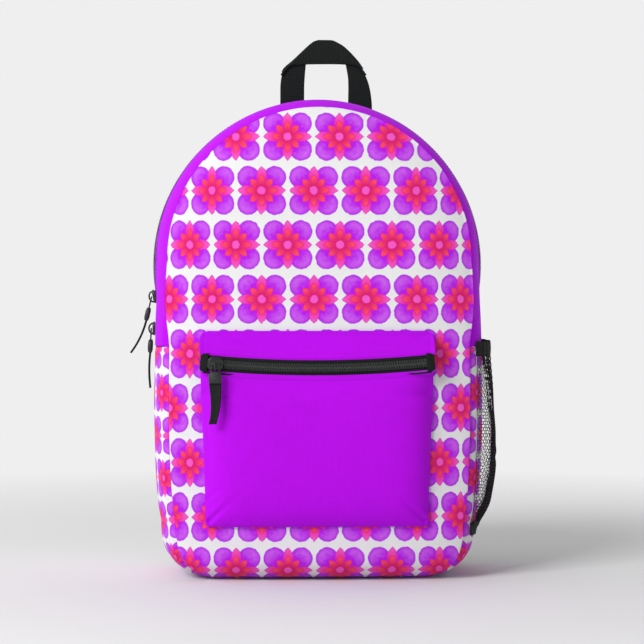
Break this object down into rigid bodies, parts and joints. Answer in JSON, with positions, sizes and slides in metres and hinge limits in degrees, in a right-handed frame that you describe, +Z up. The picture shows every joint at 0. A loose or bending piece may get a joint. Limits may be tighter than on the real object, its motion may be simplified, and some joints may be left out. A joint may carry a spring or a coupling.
{
  "type": "school backpack",
  "caption": "Arch-topped school backpack: printed panels, zipped clamshell front, zipped front pocket, mesh bottle pocket, webbing grab handle and padded shoulder straps",
  "frame": {"origin": "centre of the flat base, where the bag stands", "axes": "+Z up, -Y the zipped front with the pocket, +X the side with the mesh pocket"},
  "size_m": [0.3403, 0.2129, 0.5025],
  "materials": {
    "printed_canvas": "printed woven polyester canvas",
    "purple_canvas": "plain woven polyester",
    "black_canvas": "woven polyester",
    "black_webbing": "ribbed webbing",
    "black_mesh": "open mesh",
    "zip_tape": "woven tape with coil teeth",
    "moulded_black": "moulded",
    "coated_slider": "coated die casting",
    "grey_foam": "foam sheet",
    "grey_lining": "lining",
    "stiff_board": "board"
  },
  "bodies": {
    "bag": {"gusset_rear": "purple_canvas", "gusset_end_left": "purple_canvas", "gusset_end_right": "purple_canvas", "side_panel_left": "printed_canvas", "side_panel_right": "printed_canvas", "base_panel": "printed_canvas", "front_panel_lower": "printed_canvas", "back_panel": "black_canvas", "back_foam": "grey_foam", "laptop_sleeve": "grey_lining", "base_stiffener": "stiff_board", "main_zip_rear": "zip_tape", "main_zip_foot_left": "zip_tape", "main_zip_foot_right": "zip_tape", "main_zip_tab_left": "zip_tape", "main_zip_tab_right": "zip_tape", "pocket_panel": "purple_canvas", "pocket_top_band": "purple_canvas", "pocket_zip_upper": "zip_tape", "pocket_zip_lower": "zip_tape", "pocket_zip_end_left": "zip_tape", "pocket_zip_end_right": "zip_tape", "mesh_pocket": "black_mesh", "mesh_pocket_band": "black_webbing", "handle_foot_left": "black_webbing", "handle_foot_right": "black_webbing", "yoke_patch": "black_canvas", "strap_root_left": "black_canvas", "strap_root_right": "black_canvas", "strap_foot_left": "black_webbing", "strap_foot_right": "black_webbing", "strap_anchor_left": "black_canvas", "strap_anchor_right": "black_canvas"},
    "flap": {"front_panel_upper": "printed_canvas", "gusset_front": "purple_canvas", "main_zip_front": "zip_tape"},
    "slider_upper": {"main_slider_upper": "coated_slider"},
    "pull_upper": {"upper_pull_bail": "coated_slider", "upper_pull_block": "moulded_black", "upper_pull_strip": "black_webbing"},
    "slider_lower": {"main_slider_lower": "coated_slider"},
    "pull_lower": {"lower_pull_bail": "coated_slider", "lower_pull_block": "moulded_black", "lower_pull_strip": "black_webbing"},
    "slider_pocket": {"pocket_slider": "coated_slider"},
    "pull_pocket": {"pocket_pull_eye": "coated_slider", "pocket_pull_block": "moulded_black", "pocket_pull_strip": "black_webbing"},
    "handle": {"grab_handle": "black_webbing"},
    "strap_left": {"shoulder_strap_left": "black_canvas", "strap_adjuster_left": "moulded_black", "strap_webbing_left": "black_webbing"},
    "tail_left": {"strap_tail_left": "black_webbing"},
    "strap_right": {"shoulder_strap_right": "black_canvas", "strap_adjuster_right": "moulded_black", "strap_webbing_right": "black_webbing"},
    "tail_right": {"strap_tail_right": "black_webbing"}
  },
  "joints": [
    {"name": "flap_open", "type": "hinge", "parent": "bag", "child": "flap", "pos_m": [0, -0.0665, 0.236], "axis": [1, 0, 0], "range_deg": [0, 50]},
    {"name": "upper_slider_run", "type": "hinge", "parent": "bag", "child": "slider_upper", "pos_m": [0, 0.014, 0.286], "axis": [0, 1, 0], "range_deg": [0, 190]},
    {"name": "upper_pull_swing", "type": "hinge", "parent": "slider_upper", "child": "pull_upper", "pos_m": [-0.1552, 0.014, 0.25638], "axis": [0, 1, 0], "range_deg": [0, 140]},
    {"name": "lower_slider_run", "type": "slide", "parent": "bag", "child": "slider_lower", "axis": [0, 0, 1], "range_m": [-0.006, 0.006]},
    {"name": "lower_pull_swing", "type": "hinge", "parent": "slider_lower", "child": "pull_lower", "pos_m": [-0.15545, 0.014, 0.22695], "axis": [0, 1, 0], "range_deg": [0, 20]},
    {"name": "pocket_slider_run", "type": "hinge", "parent": "bag", "child": "slider_pocket", "pos_m": [-0.003, -0.077, 1.2305], "axis": [0, -1, 0], "range_deg": [0, 9.9]},
    {"name": "pocket_pull_swing", "type": "hinge", "parent": "slider_pocket", "child": "pull_pocket", "pos_m": [-0.0946, -0.0848, 0.19755], "axis": [-1, 0, 0], "range_deg": [0, 100]},
    {"name": "handle_fold", "type": "hinge", "parent": "bag", "child": "handle", "pos_m": [0.0097, 0.067, 0.4425], "axis": [1, 0, 0], "range_deg": [-65, 60], "stiffness_Nm_per_rad": 0.04},
    {"name": "strap_swing_left", "type": "hinge", "parent": "bag", "child": "strap_left", "pos_m": [-0.048, 0.07, 0.368], "axis": [-0.2382, 0, -0.9712], "range_deg": [-18, 18]},
    {"name": "strap_tail_swing_left", "type": "hinge", "parent": "strap_left", "child": "tail_left", "pos_m": [-0.10432, 0.11493, 0.1354], "axis": [1, 0, 0], "range_deg": [0, 60]},
    {"name": "strap_swing_right", "type": "hinge", "parent": "bag", "child": "strap_right", "pos_m": [0.048, 0.07, 0.368], "axis": [0.2382, 0, -0.9712], "range_deg": [-18, 18]},
    {"name": "strap_tail_swing_right", "type": "hinge", "parent": "strap_right", "child": "tail_right", "pos_m": [0.10432, 0.11493, 0.1354], "axis": [1, 0, 0], "range_deg": [0, 60]}
  ]
}
